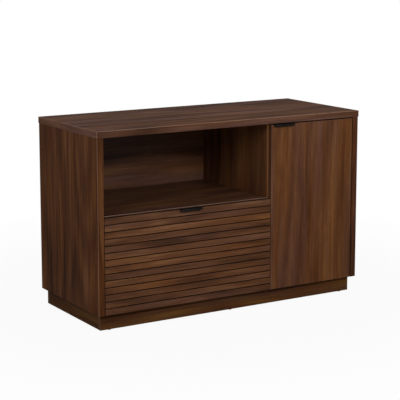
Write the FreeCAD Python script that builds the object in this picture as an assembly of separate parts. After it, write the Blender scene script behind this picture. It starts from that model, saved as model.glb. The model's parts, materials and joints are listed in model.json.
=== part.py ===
# Office credenza with one hanging-file drawer, an open cubby above it and a cupboard beside it.
# Millimetres, +Z up. The origin is on the floor under the middle of the bounding box, and the front faces -Y.

import FreeCAD
import Part
import math
import os

V = FreeCAD.Vector
X_AXIS = V(1, 0, 0)
Y_AXIS = V(0, 1, 0)
Z_AXIS = V(0, 0, 1)

# Carcass
width = 1182.0
height = 749.0
carcass_depth = 496.0
top_thickness = 25.0
top_overhang_side = 1.5
top_overhang_front = 2.5
end_thickness = 25.0
board = 16.0
back_thickness = 3.0
back_inset = 2.0
edge_round = 1.0

# Plinth
plinth_height = 64.0
plinth_inset_side = 18.0
plinth_inset_front = 26.0
plinth_inset_back = 16.0
glide_height = 2.5
glide_radius = 7.5
corner_block = 40.0
corner_block_rise = 6.0
glide_end_distance = 40.0

# Bays
upright_left = 162.0
cubby_floor = 432.0
shelf_pin_height = 392.0
shelf_pin_pitch = 32.0
shelf_pin_radius = 2.5
shelf_pin_depth = 8.0
shelf_pin_row_inset = 60.0
shelf_side_gap = 1.0
shelf_front_inset = 28.0
shelf_back_gap = 6.0

# Fronts
front_thickness = 18.0
front_setback = 2.0
drawer_gap_left = 2.5
drawer_right = 166.0
drawer_top = 428.5
door_left = 169.0
door_gap_right = 3.5
door_top = 719.0
bumper_radius = 3.5
bumper_from_edge = 4.5
bumper_from_end = 45.0
bumper_play = 0.3
groove_count = 13
groove_top = 402.6
groove_pitch = 26.1
groove_width = 3.6
groove_depth = 5.0
groove_ease = 0.7

# Edge pulls
pull_length = 92.0
pull_reach = 13.0
pull_seat = 15.0
pull_drop = 9.0
pull_plate = 2.0
pull_bend = 2.5
door_pull_inset = 9.0
pull_screw_spacing = 60.0
pull_screw_length = 22.0

# Drawer box
box_length = 456.0
box_side = 12.0
box_bottom = 92.0
box_top = 352.0
box_panel = 3.2
box_panel_height = 100.0
panel_groove = 6.0
box_cam_from_bottom = 60.0
box_cam_from_top = 40.0
box_screw_from_end = 50.0
box_screw_length = 40.0
file_spacing = 318.0
rail_thickness = 3.0
rail_height = 12.0
rail_front_inset = 40.0
rail_seat = 2.0
rail_end_gap = 2.0
clip_width = 14.0
clip_gauge = 2.0
clip_skirt = 16.0
clip_cover = 1.0

# Ball-bearing slides
slide_length = 450.0
slide_width = 12.7
slide_height = 200.0
slide_gauge = 1.2
slide_start = 3.0
slide_screw_from_end = 35.0
slide_outer_screw_length = 14.0
slide_inner_screw_length = 10.0
outer_flange = 22.8
middle_flange = 18.2
inner_flange = 13.6
outer_tip = 11.0
middle_web = 2.2
inner_tip = 4.4
ball_radius = 1.4
ball_count = 2
ball_s = 7.0
cage_length = 120.0
cage_gauge = 0.8
cage_web = 0.4
cage_tip = 9.0
cage_play = 0.1
outer_cage_web = 1.5
inner_cage_web = 3.7

# Cup hinges
hinge_end_distance = 100.0
cup_radius = 17.5
cup_depth = 13.0
cup_wall = 0.8
cup_floor = 0.6
cup_edge_distance = 4.5
cup_rim = 2.0
cup_plate = 1.2
cup_screw_offset = 9.5
cup_screw_rise = 24.0
cup_screw_length = 13.0
cup_wing = 6.0
hinge_pin_from_edge = 12.0
hinge_pin_from_face = 8.5
hinge_pin_radius = 1.3
hinge_pin_length = 26.4
hinge_pin_clearance = 0.05
arm_gauge = 2.5
arm_width = 12.0
arm_eye_radius = 2.6
arm_from_end = 8.0
arm_from_front = 27.0
arm_length = 50.0
arm_neck = 15.5
arm_neck_slope = 1.5
arm_screw_from_tip = 10.0
arm_screw_length = 8.0
arm_screw_radius = 2.0
arm_screw_head_radius = 3.6
mount_gauge = 2.0
mount_start = 10.0
mount_length = 42.0
mount_half_width = 9.0
mount_wing_start = 8.0
mount_wing_length = 14.0
mount_wing_reach = 25.0
mount_ridge_start = 4.0
mount_screw_rise = 18.0
mount_screw_length = 15.0

# Fastenings
cam_radius = 7.5
cam_depth = 12.5
cam_setback = 24.0
cam_bolt_radius = 3.0
cam_bolt_grip = 11.0
cam_bolt_level = 0.62
cam_from_front = 90.0
cam_from_back = 80.0
drawer_cam_radius = 6.0
drawer_cam_depth = 9.5
drawer_bolt_radius = 2.5
dowel_radius = 4.0
dowel_length = 34.0
dowel_grip = 12.0
dowel_from_front = 130.0
dowel_from_back = 120.0
screw_radius = 1.75
screw_head_radius = 3.4
screw_head = 1.2
nail_length = 20.0
nail_radius = 1.5
nail_end_heights = (110.0, 400.0, 690.0)
nail_upright_heights = (250.0, 570.0)
nail_bottom_places = (-280.0, 330.0)
nail_shelf_places = (-380.0, -60.0)
peg_sides = 6
cam_sides = 12
cup_sides = 24

# Places worked out from the sizes above
front = pull_reach - (carcass_depth + pull_reach) / 2
back = front + carcass_depth
end_outer = width / 2 - top_overhang_side
end_inner = end_outer - end_thickness
under_top = height - top_thickness
front_rear = front + front_thickness
inner_front = front_rear + front_setback
inner_back = back - back_thickness
bottom_front = front + plinth_inset_front
bottom_top = plinth_height + board
upright_right = upright_left + board
cubby_under = cubby_floor - board
drawer_left = -end_inner + drawer_gap_left
door_right = end_inner - door_gap_right


def block(x0, x1, y0, y1, z0, z1):
    return Part.makeBox(x1 - x0, y1 - y0, z1 - z0, V(x0, y0, z0))


def rod(start, axis, radius, length):
    return Part.makeCylinder(radius, length, start, axis)


def prism(points, along):
    outline = Part.makePolygon(points + [points[0]])
    return Part.Face(outline).extrude(along)


def ring(centre, axis, radius, sides):
    across = axis.cross(Z_AXIS if abs(axis.z) < 0.5 else X_AXIS)
    upward = axis.cross(across)
    turns = [2 * math.pi * (i + 0.5) / sides for i in range(sides)]
    return [centre + across * (radius * math.cos(turn)) + upward * (radius * math.sin(turn)) for turn in turns]


def peg(start, axis, radius, length, sides=peg_sides):
    # Small fastenings are many and mostly buried, so they have flat sides to keep the model light
    return prism(ring(start, axis, radius, sides), axis * length)


def eased(solid, size, wanted):
    return solid.makeChamfer(size, [edge for edge in solid.Edges if wanted(edge)])


def on_front(edge):
    return all(abs(vertex.Point.y - front) < 0.01 for vertex in edge.Vertexes)


def upright_front(edge):
    lower, upper = [vertex.Point for vertex in edge.Vertexes]
    return on_front(edge) and abs(lower.z - upper.z) > 1


def flush_screw(start, axis, length, radius=screw_radius, head=screw_head_radius):
    # A flat-headed screw whose head lies flush with the surface that start is on
    shank = peg(start, axis, radius, length)
    return shank.fuse(peg(start, axis, head, screw_head)).removeSplitter()


def drilled(solid, fittings):
    return solid.cut(Part.makeCompound(fittings))


nodes = {}

# Boards of the carcass
top_panel = block(-width / 2, width / 2, front - top_overhang_front, back, under_top, height)
top_panel = eased(top_panel, edge_round, lambda edge: True)
left_end = eased(block(-end_outer, -end_inner, front, inner_back, plinth_height, under_top),
                 edge_round, upright_front)
right_end = eased(block(end_inner, end_outer, front, inner_back, plinth_height, under_top),
                  edge_round, upright_front)
bottom_panel = block(-end_inner, end_inner, bottom_front, inner_back, plinth_height, bottom_top)
upright = block(upright_left, upright_right, inner_front, inner_back, bottom_top, under_top)
cubby_shelf = block(-end_inner, upright_left, inner_front, inner_back, cubby_under, cubby_floor)
back_panel = block(-end_outer + back_inset, end_outer - back_inset, inner_back, back, plinth_height, under_top)

# Plinth boards, the cross board under the middle, glued corner blocks and nailed glides
plinth_x = end_outer - plinth_inset_side
plinth_front_y = front + plinth_inset_front
plinth_back_y = back - plinth_inset_back
nodes["plinth_front"] = block(-plinth_x, plinth_x, plinth_front_y, plinth_front_y + board,
                              glide_height, plinth_height)
nodes["plinth_back"] = block(-plinth_x, plinth_x, plinth_back_y - board, plinth_back_y,
                             glide_height, plinth_height)
side_y0 = plinth_front_y + board
side_y1 = plinth_back_y - board
nodes["plinth_left"] = block(-plinth_x, -plinth_x + board, side_y0, side_y1, glide_height, plinth_height)
nodes["plinth_right"] = block(plinth_x - board, plinth_x, side_y0, side_y1, glide_height, plinth_height)
nodes["plinth_middle"] = block(-board / 2, board / 2, side_y0, side_y1, glide_height, plinth_height)

corner_x = plinth_x - board
corner_low = glide_height + corner_block_rise
corner_blocks = []
for sx in (-1, 1):
    for y, inward in ((side_y0, 1), (side_y1, -1)):
        corner = V(sx * corner_x, y, corner_low)
        legs = [corner, corner + V(-sx * corner_block, 0, 0), corner + V(0, inward * corner_block, 0)]
        corner_blocks.append(prism(legs, V(0, 0, plinth_height - corner_low)))
nodes["plinth_corner_blocks"] = corner_blocks

glides = []
for x in (-plinth_x + glide_end_distance, 0, plinth_x - glide_end_distance):
    for y in (plinth_front_y + board / 2, plinth_back_y - board / 2):
        glides.append(peg(V(x, y, 0), Z_AXIS, glide_radius, glide_height, cam_sides))
nodes["base_glides"] = glides


# Cam fittings: a turning cam let into one board draws a bolt that is screwed into the next board
def cam_fitting(face, cam_axis, bolt_axis, radius=cam_radius, depth=cam_depth, bolt_radius=cam_bolt_radius):
    cam = peg(face, cam_axis, radius, depth, cam_sides)
    middle = face + cam_axis * (depth * cam_bolt_level)
    bolt = peg(middle, bolt_axis, bolt_radius, cam_setback + cam_bolt_grip)
    return cam, bolt.cut(cam)


cams = []
cam_bolts = []


def add_cam(face, cam_axis, bolt_axis):
    cam, bolt = cam_fitting(face, cam_axis, bolt_axis)
    cams.append(cam)
    cam_bolts.append(bolt)


cam_rows = (front + cam_from_front, back - cam_from_back)
for y in cam_rows:
    for sx in (-1, 1):
        add_cam(V(sx * end_inner, y, under_top - cam_setback), X_AXIS * sx, Z_AXIS)
        add_cam(V(sx * (end_inner - cam_setback), y, plinth_height), Z_AXIS, X_AXIS * sx)
    add_cam(V(upright_right, y, under_top - cam_setback), -X_AXIS, Z_AXIS)
    add_cam(V(upright_right, y, bottom_top + cam_setback), -X_AXIS, -Z_AXIS)
    add_cam(V(-end_inner + cam_setback, y, cubby_under), Z_AXIS, -X_AXIS)
    add_cam(V(upright_left - cam_setback, y, cubby_under), Z_AXIS, X_AXIS)
nodes["cam_locks"] = cams
nodes["cam_bolts"] = cam_bolts

# Glued dowels that keep the boards in line between the cams
dowels = []
dowel_rows = (front + dowel_from_front, back - dowel_from_back)
for y in dowel_rows:
    for sx in (-1, 1):
        dowels.append(peg(V(sx * (end_inner + end_thickness / 2), y, under_top - dowel_length + dowel_grip),
                          Z_AXIS, dowel_radius, dowel_length))
        dowels.append(peg(V(sx * (end_inner + dowel_grip), y, plinth_height + board / 2),
                          X_AXIS * -sx, dowel_radius, dowel_length))
dowels.append(peg(V(-end_inner - dowel_grip, 0, cubby_floor - board / 2), X_AXIS, dowel_radius, dowel_length))
nodes["wood_dowels"] = dowels

# Ball-bearing slides. Each member is a rolled channel. They nest inside one another, and s is the
# distance from the cabinet's face towards the drawer.
slide_y = front_rear + slide_start


def channel(back, tip, flange, web, gauge, start, length):
    # A C section: its web lies from back towards tip, and its flanges reach from the web to tip
    inside = back + math.copysign(web, tip - back)
    corners = [(back, -flange), (tip, -flange), (tip, gauge - flange), (inside, gauge - flange),
               (inside, flange - gauge), (tip, flange - gauge), (tip, flange), (back, flange)]
    return prism([V(s, start, z) for s, z in corners], Y_AXIS * length)


outer_member = channel(0, outer_tip, outer_flange, slide_gauge, slide_gauge, slide_y, slide_length)
middle_member = channel(middle_web, outer_tip, middle_flange, slide_gauge, slide_gauge, slide_y, slide_length)
inner_member = channel(slide_width, inner_tip, inner_flange, slide_gauge, slide_gauge, slide_y, slide_length)


def bearing_ball(centre):
    # Flat-sided bands stand for the round of a ball this small
    bands = ((-0.9, 0.44), (-0.45, 0.89), (0.45, 0.89), (0.9, 0.44))
    rings = [ring(centre + Z_AXIS * (ball_radius * rise), Z_AXIS, ball_radius * spread, peg_sides)
             for rise, spread in bands]
    faces = [Part.Face(Part.makePolygon(end + [end[0]])) for end in (rings[0], rings[-1])]
    for low, high in zip(rings, rings[1:]):
        for i in range(peg_sides):
            j = (i + 1) % peg_sides
            faces.append(Part.Face(Part.makePolygon([low[i], low[j], high[j], high[i], low[i]])))
    return Part.makeSolid(Part.makeShell(faces))


# A cage is a thin channel between two members, with a ball in each of its holes
cage_y = slide_y + (slide_length - cage_length) / 2


def ball_cage(web, race):
    cage = channel(web, cage_tip, race + cage_gauge / 2, cage_web, cage_gauge, cage_y, cage_length)
    balls = []
    holes = []
    for i in range(ball_count):
        y = cage_y + cage_length * (i + 0.5) / ball_count
        for z in (-race, race):
            holes.append(peg(V(ball_s, y, z - cage_gauge), Z_AXIS, ball_radius + cage_play, 2 * cage_gauge))
            balls.append(bearing_ball(V(ball_s, y, z)))
    return drilled(cage, holes), balls


outer_race = (outer_flange - slide_gauge + middle_flange) / 2
inner_race = (middle_flange - slide_gauge + inner_flange) / 2
outer_cage, outer_balls = ball_cage(outer_cage_web, outer_race)
inner_cage, inner_balls = ball_cage(inner_cage_web, inner_race)

outer_screws = []
inner_screws = []
for run in (slide_screw_from_end, slide_length / 2, slide_length - slide_screw_from_end):
    outer_screws.append(flush_screw(V(slide_gauge, slide_y + run, 0), -X_AXIS, slide_outer_screw_length))
    inner_screws.append(flush_screw(V(slide_width - slide_gauge, slide_y + run, 0), X_AXIS,
                                    slide_inner_screw_length))
outer_member = drilled(outer_member, outer_screws)
inner_member = drilled(inner_member, inner_screws)


def on_left(shape):
    return shape.translated(V(-end_inner, 0, slide_height))


def on_right(shape):
    return shape.mirror(V(0, 0, 0), X_AXIS).translated(V(upright_left, 0, slide_height))


nodes["slide_outer_left"] = on_left(outer_member)
nodes["slide_outer_right"] = on_right(outer_member)
nodes["slide_middle_left"] = on_left(middle_member)
nodes["slide_middle_right"] = on_right(middle_member)
nodes["slide_inner_left"] = on_left(inner_member)
nodes["slide_inner_right"] = on_right(inner_member)
nodes["outer_ball_cages"] = [on_left(outer_cage), on_right(outer_cage)]
nodes["inner_ball_cages"] = [on_left(inner_cage), on_right(inner_cage)]
nodes["outer_balls"] = [place(ball) for place in (on_left, on_right) for ball in outer_balls]
nodes["inner_balls"] = [place(ball) for place in (on_left, on_right) for ball in inner_balls]
nodes["slide_outer_screws"] = [place(screw) for place in (on_left, on_right) for screw in outer_screws]
nodes["slide_inner_screws"] = [place(screw) for place in (on_left, on_right) for screw in inner_screws]

# Drawer front: one board whose face is cut into slats by square grooves with eased edges
outline = [V(drawer_left, front_rear, plinth_height), V(drawer_left, front + edge_round, plinth_height),
           V(drawer_left, front, plinth_height + edge_round)]
for i in reversed(range(groove_count)):
    middle = groove_top - i * groove_pitch
    low = middle - groove_width / 2
    high = middle + groove_width / 2
    outline += [V(drawer_left, front, low - groove_ease), V(drawer_left, front + groove_ease, low),
                V(drawer_left, front + groove_depth, low), V(drawer_left, front + groove_depth, high),
                V(drawer_left, front + groove_ease, high), V(drawer_left, front, high + groove_ease)]
outline += [V(drawer_left, front, drawer_top - edge_round), V(drawer_left, front + edge_round, drawer_top),
            V(drawer_left, front_rear, drawer_top)]
drawer_front = prism(outline, X_AXIS * (drawer_right - drawer_left))

# Drawer box: grooved sides and back, a thin bottom let into the sides and the front
box_left = -end_inner + slide_width
box_right = upright_left - slide_width
box_back = front_rear + box_length
panel_low = box_panel_height
panel_high = panel_low + box_panel
drawer_bottom = block(box_left + box_side - panel_groove, box_right - box_side + panel_groove,
                      front_rear - panel_groove, box_back, panel_low, panel_high)
drawer_side_left = block(box_left, box_left + box_side, front_rear, box_back, box_bottom, box_top)
drawer_side_right = block(box_right - box_side, box_right, front_rear, box_back, box_bottom, box_top)
drawer_back = block(box_left + box_side, box_right - box_side, box_back - box_side, box_back,
                    panel_high, box_top)

drawer_cams = []
drawer_bolts = []
for sx, face_x in ((-1, box_left + box_side), (1, box_right - box_side)):
    for z in (box_bottom + box_cam_from_bottom, box_top - box_cam_from_top):
        cam, bolt = cam_fitting(V(face_x, front_rear + cam_setback, z), X_AXIS * sx, -Y_AXIS,
                                drawer_cam_radius, drawer_cam_depth, drawer_bolt_radius)
        drawer_cams.append(cam)
        drawer_bolts.append(bolt)
drawer_screws = []
for sx, face_x in ((1, box_left), (-1, box_right)):
    for z in (box_bottom + box_screw_from_end, box_top - box_screw_from_end):
        drawer_screws.append(flush_screw(V(face_x, box_back - box_side / 2, z), X_AXIS * sx, box_screw_length))

slide_inner_fixings = nodes["slide_inner_screws"]
side_fittings = drawer_cams + drawer_bolts + drawer_screws + slide_inner_fixings + [drawer_bottom]
nodes["drawer_side_left"] = drilled(drawer_side_left, side_fittings)
nodes["drawer_side_right"] = drilled(drawer_side_right, side_fittings)
nodes["drawer_back"] = drilled(drawer_back, drawer_screws)
nodes["drawer_bottom"] = drawer_bottom
nodes["drawer_cam_locks"] = drawer_cams
nodes["drawer_cam_bolts"] = drawer_bolts
nodes["drawer_screws"] = drawer_screws

# Rails for hanging files, carried by clips on the top edges of the drawer's sides
rail_low = box_top + rail_seat
rail_rows = {"front": front_rear + rail_front_inset, "rear": front_rear + rail_front_inset + file_spacing}
clips = []
for place, y in rail_rows.items():
    rail = block(box_left + rail_end_gap, box_right - rail_end_gap,
                 y - rail_thickness / 2, y + rail_thickness / 2, rail_low, rail_low + rail_height)
    nodes["hanging_rail_" + place] = rail
    for outer, inward in ((box_left, 1), (box_right, -1)):
        inner = outer + inward * box_side
        across = sorted((outer, inner + inward * clip_gauge))
        beside = sorted((inner, inner + inward * clip_gauge))
        saddle = block(*across, y - clip_width / 2, y + clip_width / 2,
                       box_top, rail_low + rail_height - clip_cover)
        skirt = block(*beside, y - clip_width / 2, y + clip_width / 2, box_top - clip_skirt, box_top)
        clips.append(saddle.fuse(skirt).removeSplitter().cut(rail))
nodes["rail_clips"] = clips


# Edge pulls: a bent strip that sits on the top edge of a front and hooks down before its face
def edge_pull(left, seat_height):
    plate_rear = front + pull_seat
    lip_front = front - pull_reach
    lip_rear = lip_front + pull_plate
    plate_top = seat_height + pull_plate
    lip_bottom = plate_top - pull_drop
    profile = [(plate_rear, seat_height), (plate_rear, plate_top), (lip_front, plate_top),
               (lip_front, lip_bottom), (lip_rear, lip_bottom), (lip_rear, seat_height)]
    pull = prism([V(left, y, z) for y, z in profile], X_AXIS * pull_length)
    bent_edges = [edge for edge in pull.Edges if all(
        abs(vertex.Point.y - lip_front) < 0.01 and abs(vertex.Point.z - plate_top) < 0.01
        for vertex in edge.Vertexes)]
    pull = pull.makeFillet(pull_bend, bent_edges)
    middle = left + pull_length / 2
    screws = [flush_screw(V(middle + sx * pull_screw_spacing / 2, front + front_thickness / 2, plate_top),
                          -Z_AXIS, pull_screw_length) for sx in (-1, 1)]
    return drilled(pull, screws), screws


drawer_middle = (drawer_left + drawer_right) / 2
drawer_pull, drawer_pull_screws = edge_pull(drawer_middle - pull_length / 2, drawer_top)
door_pull, door_pull_screws = edge_pull(door_left + door_pull_inset, door_top)
nodes["drawer_pull"] = drawer_pull
nodes["drawer_pull_screws"] = drawer_pull_screws
nodes["door_pull"] = door_pull
nodes["door_pull_screws"] = door_pull_screws
nodes["drawer_front"] = drilled(drawer_front, drawer_bolts + drawer_pull_screws + [drawer_bottom])

# Door and its two concealed hinges: a cup let into the door turns on a pin in the eye of a swan-neck arm,
# and the arm is screwed to a plate on the right end
door_panel = eased(block(door_left, door_right, front, front_rear, plinth_height, door_top),
                   edge_round, on_front)
cup_x = door_right - cup_edge_distance - cup_radius
pin_x = door_right - hinge_pin_from_edge
pin_y = front + hinge_pin_from_face
cup_mouth = peg(V(cup_x, front_rear - cup_depth, 0), Y_AXIS, cup_radius, cup_depth, cup_sides)
cup_flange = peg(V(cup_x, front_rear, 0), Y_AXIS, cup_radius + cup_rim, cup_plate, cup_sides)
cup_wing_x = cup_x - cup_screw_offset
cup_wings = block(cup_wing_x - cup_wing, cup_wing_x + cup_wing, front_rear, front_rear + cup_plate,
                  -cup_screw_rise - cup_wing, cup_screw_rise + cup_wing)
cup_hollow = peg(V(cup_x, front_rear - cup_depth + cup_floor, 0), Y_AXIS, cup_radius - cup_wall,
                 cup_depth + cup_plate, cup_sides)
cup = cup_mouth.fuse([cup_flange, cup_wings]).removeSplitter().cut(cup_hollow)
cup_screws = [flush_screw(V(cup_wing_x, front_rear + cup_plate, z), -Y_AXIS, cup_screw_length)
              for z in (-cup_screw_rise, cup_screw_rise)]
hinge_pin = rod(V(pin_x, pin_y, -hinge_pin_length / 2), Z_AXIS, hinge_pin_radius, hinge_pin_length)
cup = drilled(cup, cup_screws + [hinge_pin])

arm_x = end_inner - arm_from_end
arm_y = front + arm_from_front
neck_x = pin_x - arm_neck
arm_low = -arm_width / 2
arm_turns = [(pin_x, pin_y), (neck_x, pin_y + arm_neck_slope), (neck_x, arm_y), (arm_x, arm_y),
             (arm_x, arm_y + arm_length)]
arm_path = Part.makePolygon([V(x, y, arm_low) for x, y in arm_turns])
arm = Part.Face(arm_path.makeOffset2D(arm_gauge / 2, 2)).extrude(Z_AXIS * arm_width)
eye = peg(V(pin_x, pin_y, arm_low), Z_AXIS, arm_eye_radius, arm_width, cam_sides)
eye_bore = rod(V(pin_x, pin_y, arm_low), Z_AXIS, hinge_pin_radius + hinge_pin_clearance, arm_width)
arm = arm.fuse(eye).removeSplitter().cut(eye_bore)

mount_y0 = arm_y + mount_start
mount_y1 = mount_y0 + mount_length
mount_x = end_inner - mount_gauge
wing_y0 = mount_y0 + mount_wing_start
wing_y1 = wing_y0 + mount_wing_length
plate = block(mount_x, end_inner, mount_y0, mount_y1, -mount_half_width, mount_half_width)
plate_wings = block(mount_x, end_inner, wing_y0, wing_y1, -mount_wing_reach, mount_wing_reach)
ridge = block(arm_x + arm_gauge / 2, mount_x, mount_y0 + mount_ridge_start, mount_y1, arm_low, -arm_low)
plate = plate.fuse([plate_wings, ridge]).removeSplitter()
plate_screws = [flush_screw(V(mount_x, (wing_y0 + wing_y1) / 2, z), X_AXIS, mount_screw_length)
                for z in (-mount_screw_rise, mount_screw_rise)]
arm_screw = flush_screw(V(arm_x - arm_gauge / 2, arm_y + arm_length - arm_screw_from_tip, 0), X_AXIS,
                        arm_screw_length, radius=arm_screw_radius, head=arm_screw_head_radius)
plate = drilled(plate, plate_screws + [arm_screw])
arm = drilled(arm, [arm_screw])

hinge_places = {"lower": plinth_height + hinge_end_distance, "upper": door_top - hinge_end_distance}
hinge_pins = []
door_fittings = list(door_pull_screws)
cup_fixings = []
plate_fixings = []
for place, z in hinge_places.items():
    lift = V(0, 0, z)
    nodes["hinge_cup_" + place] = cup.translated(lift)
    nodes["hinge_arm_" + place] = arm.translated(lift)
    nodes["hinge_plate_" + place] = plate.translated(lift)
    hinge_pins.append(hinge_pin.translated(lift))
    cup_fixings += [screw.translated(lift) for screw in cup_screws]
    plate_fixings += [screw.translated(lift) for screw in plate_screws]
    plate_fixings.append(arm_screw.translated(lift))
    door_fittings.append(cup_mouth.translated(lift))
nodes["hinge_pins"] = hinge_pins
nodes["hinge_cup_screws"] = cup_fixings
nodes["hinge_plate_screws"] = plate_fixings
nodes["door_panel"] = drilled(door_panel, door_fittings + cup_fixings)
nodes["door_bumpers"] = [peg(V(door_left + bumper_from_edge, front_rear, z), Y_AXIS, bumper_radius,
                             front_setback - bumper_play, cam_sides)
                         for z in (plinth_height + bumper_from_end, door_top - bumper_from_end)]

# Adjustable shelf in the cupboard, on pins in rows of holes
pin_rows = (inner_front + shelf_pin_row_inset, inner_back - shelf_pin_row_inset)
shelf_pins = []
pin_holes = []
for y in pin_rows:
    for wall, inward in ((upright_right, 1), (end_inner, -1)):
        for step in (-1, 0, 1):
            start = V(wall - inward * shelf_pin_depth, y, shelf_pin_height + step * shelf_pin_pitch)
            pin_holes.append(peg(start, X_AXIS * inward, shelf_pin_radius, shelf_pin_depth))
            if step == 0:
                shelf_pins.append(peg(start, X_AXIS * inward, shelf_pin_radius, shelf_pin_depth * 2))
nodes["shelf_pins"] = shelf_pins
shelf_low = max(pin.BoundBox.ZMax for pin in shelf_pins)
nodes["adjustable_shelf"] = block(upright_right + shelf_side_gap, end_inner - shelf_side_gap,
                                  inner_front + shelf_front_inset, inner_back - shelf_back_gap,
                                  shelf_low, shelf_low + board)

# Nails that hold the back panel to the rear edges of the boards
nail_places = [(sx * (end_inner + end_thickness / 2), z) for sx in (-1, 1) for z in nail_end_heights]
nail_places += [(x, plinth_height + board / 2) for x in nail_bottom_places]
nail_places += [(x, cubby_floor - board / 2) for x in nail_shelf_places]
nail_places += [(upright_left + board / 2, z) for z in nail_upright_heights]
nails = [peg(V(x, back, z), -Y_AXIS, nail_radius, nail_length) for x, z in nail_places]
nodes["back_nails"] = nails

# Boards drilled for everything that is let into them
joinery = cams + cam_bolts + dowels
slide_fixings = nodes["slide_outer_screws"]
nodes["top_panel"] = drilled(top_panel, cam_bolts + dowels)
nodes["left_end"] = drilled(left_end, joinery + slide_fixings + nails)
nodes["right_end"] = drilled(right_end, joinery + plate_fixings + pin_holes + nails)
nodes["bottom_panel"] = drilled(bottom_panel, joinery + nails)
nodes["upright"] = drilled(upright, joinery + slide_fixings + pin_holes + nails)
nodes["cubby_shelf"] = drilled(cubby_shelf, joinery + nails)
nodes["back_panel"] = drilled(back_panel, nails)

os.makedirs("parts", exist_ok=True)
for name, solids in nodes.items():
    shape = Part.makeCompound(solids) if isinstance(solids, list) else solids
    shape.exportStep("parts/" + name + ".step")
print(len(nodes), "nodes")
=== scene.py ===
import json
import math

import bmesh
import bpy
from mathutils import Matrix, Vector


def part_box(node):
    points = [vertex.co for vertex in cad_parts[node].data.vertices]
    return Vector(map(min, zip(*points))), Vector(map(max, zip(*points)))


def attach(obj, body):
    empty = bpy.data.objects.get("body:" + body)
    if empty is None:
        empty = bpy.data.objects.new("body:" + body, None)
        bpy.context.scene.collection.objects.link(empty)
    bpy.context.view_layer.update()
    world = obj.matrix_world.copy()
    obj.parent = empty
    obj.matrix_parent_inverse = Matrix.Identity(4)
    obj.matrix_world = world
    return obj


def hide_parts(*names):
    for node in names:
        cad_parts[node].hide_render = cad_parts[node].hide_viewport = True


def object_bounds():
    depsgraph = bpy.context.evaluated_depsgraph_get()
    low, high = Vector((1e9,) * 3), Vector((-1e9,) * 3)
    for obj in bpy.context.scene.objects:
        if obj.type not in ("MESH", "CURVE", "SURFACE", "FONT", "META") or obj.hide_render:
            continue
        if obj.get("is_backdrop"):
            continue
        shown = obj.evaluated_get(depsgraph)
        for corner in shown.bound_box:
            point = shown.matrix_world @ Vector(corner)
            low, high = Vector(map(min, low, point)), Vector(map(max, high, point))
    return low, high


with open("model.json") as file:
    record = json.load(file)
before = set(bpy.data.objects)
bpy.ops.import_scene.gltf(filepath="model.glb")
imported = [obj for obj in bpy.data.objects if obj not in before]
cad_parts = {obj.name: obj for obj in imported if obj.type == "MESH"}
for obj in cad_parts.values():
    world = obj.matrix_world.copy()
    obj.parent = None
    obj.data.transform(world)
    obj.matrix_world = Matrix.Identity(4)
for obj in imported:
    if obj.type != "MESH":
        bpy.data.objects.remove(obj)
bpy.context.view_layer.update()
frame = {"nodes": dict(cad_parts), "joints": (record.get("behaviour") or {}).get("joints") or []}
nodes = frame["nodes"]

# Plinth: a low frame of chipboard wrapped in wood-print paper, butted and glued, with a cross board under
# the middle. It stands back from the faces of the cabinet above, so it lies in their shade.
ALONG_X, ALONG_Y, ALONG_Z = range(3)
WHITE = (1.0, 1.0, 1.0, 1.0)
MAUVE_TINT = (0.94, 1.0, 1.36, 1.0)
AMBER_TINT = (1.08, 1.0, 0.74, 1.0)
# Pale colour of the painted highlight on eased edges
EDGE_HIGHLIGHT = (165, 135, 118)
TONE_PLACES = (0.29, 0.385, 0.465, 0.56)
RING_TURNS = 55.0
EDGE_EASE = 0.0012
SHARP_ANGLE = math.radians(32)


def chart(red, green, blue):
    # A colour as a colour chart gives it, from 0 to 255, in the linear light that a shader takes
    shares = [part / 255 for part in (red, green, blue)]
    return [s / 12.92 if s <= 0.04045 else ((s + 0.055) / 1.055) ** 2.4 for s in shares] + [1.0]


def add(tree, kind, sockets=(), **options):
    # Adds a shader node. Each socket named is fed by another node's, or set to a number or a colour.
    node = tree.nodes.new("ShaderNode" + kind)
    for option, choice in options.items():
        setattr(node, option, choice)
    for socket, given in dict(sockets).items():
        if isinstance(given, bpy.types.NodeSocket):
            tree.links.new(given, node.inputs[socket])
        else:
            node.inputs[socket].default_value = given
    return node


def reckon(tree, operation, *given):
    # One step of arithmetic on sockets and numbers
    return add(tree, "Math", enumerate(given), operation=operation).outputs[0]


def weighed(tree, *shares):
    # The sum of sockets, each with its weight
    total = 0.0
    for socket, weight in shares:
        total = reckon(tree, "MULTIPLY_ADD", socket, weight, total)
    return total


def remap(tree, factor, between, to=(0.0, 1.0)):
    # What lies between two limits is stretched to two others, and is held at them outside
    limits = zip(("From Min", "From Max", "To Min", "To Max"), between + to)
    return add(tree, "MapRange", {"Value": factor, **dict(limits)}).outputs["Result"]


def axes_of(tree, vector):
    return add(tree, "SeparateXYZ", {0: vector}).outputs


def mixed(tree, factor, first, second, blend="MIX"):
    # Of this node's sockets, 6 and 7 take the two colours and 2 gives the result
    return add(tree, "Mix", {0: factor, 6: first, 7: second}, data_type="RGBA", blend_type=blend).outputs[2]


def ramp(tree, factor, *stops):
    # Colours laid out along a factor, each with its place
    node = add(tree, "ValToRGB", {"Fac": factor})
    band = node.color_ramp.elements
    band.remove(band[1])
    band[0].position, band[0].color = stops[0]
    for place, colour in stops[1:]:
        band.new(place).color = colour
    return node.outputs["Color"]


def drawn_noise(tree, place, grain, seed, across, along, detail):
    # Noise drawn out along the grain, with so many blotches to the metre across it and along it
    density = [across] * 3
    density[grain] = along
    spot = add(tree, "Mapping", {"Vector": place, "Scale": density, "Location": (seed, 2 * seed, 3 * seed)})
    settings = {"Vector": spot.outputs["Vector"], "Scale": 1.0, "Detail": detail, "Roughness": 0.55}
    return add(tree, "TexNoise", settings).outputs["Fac"]


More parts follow.
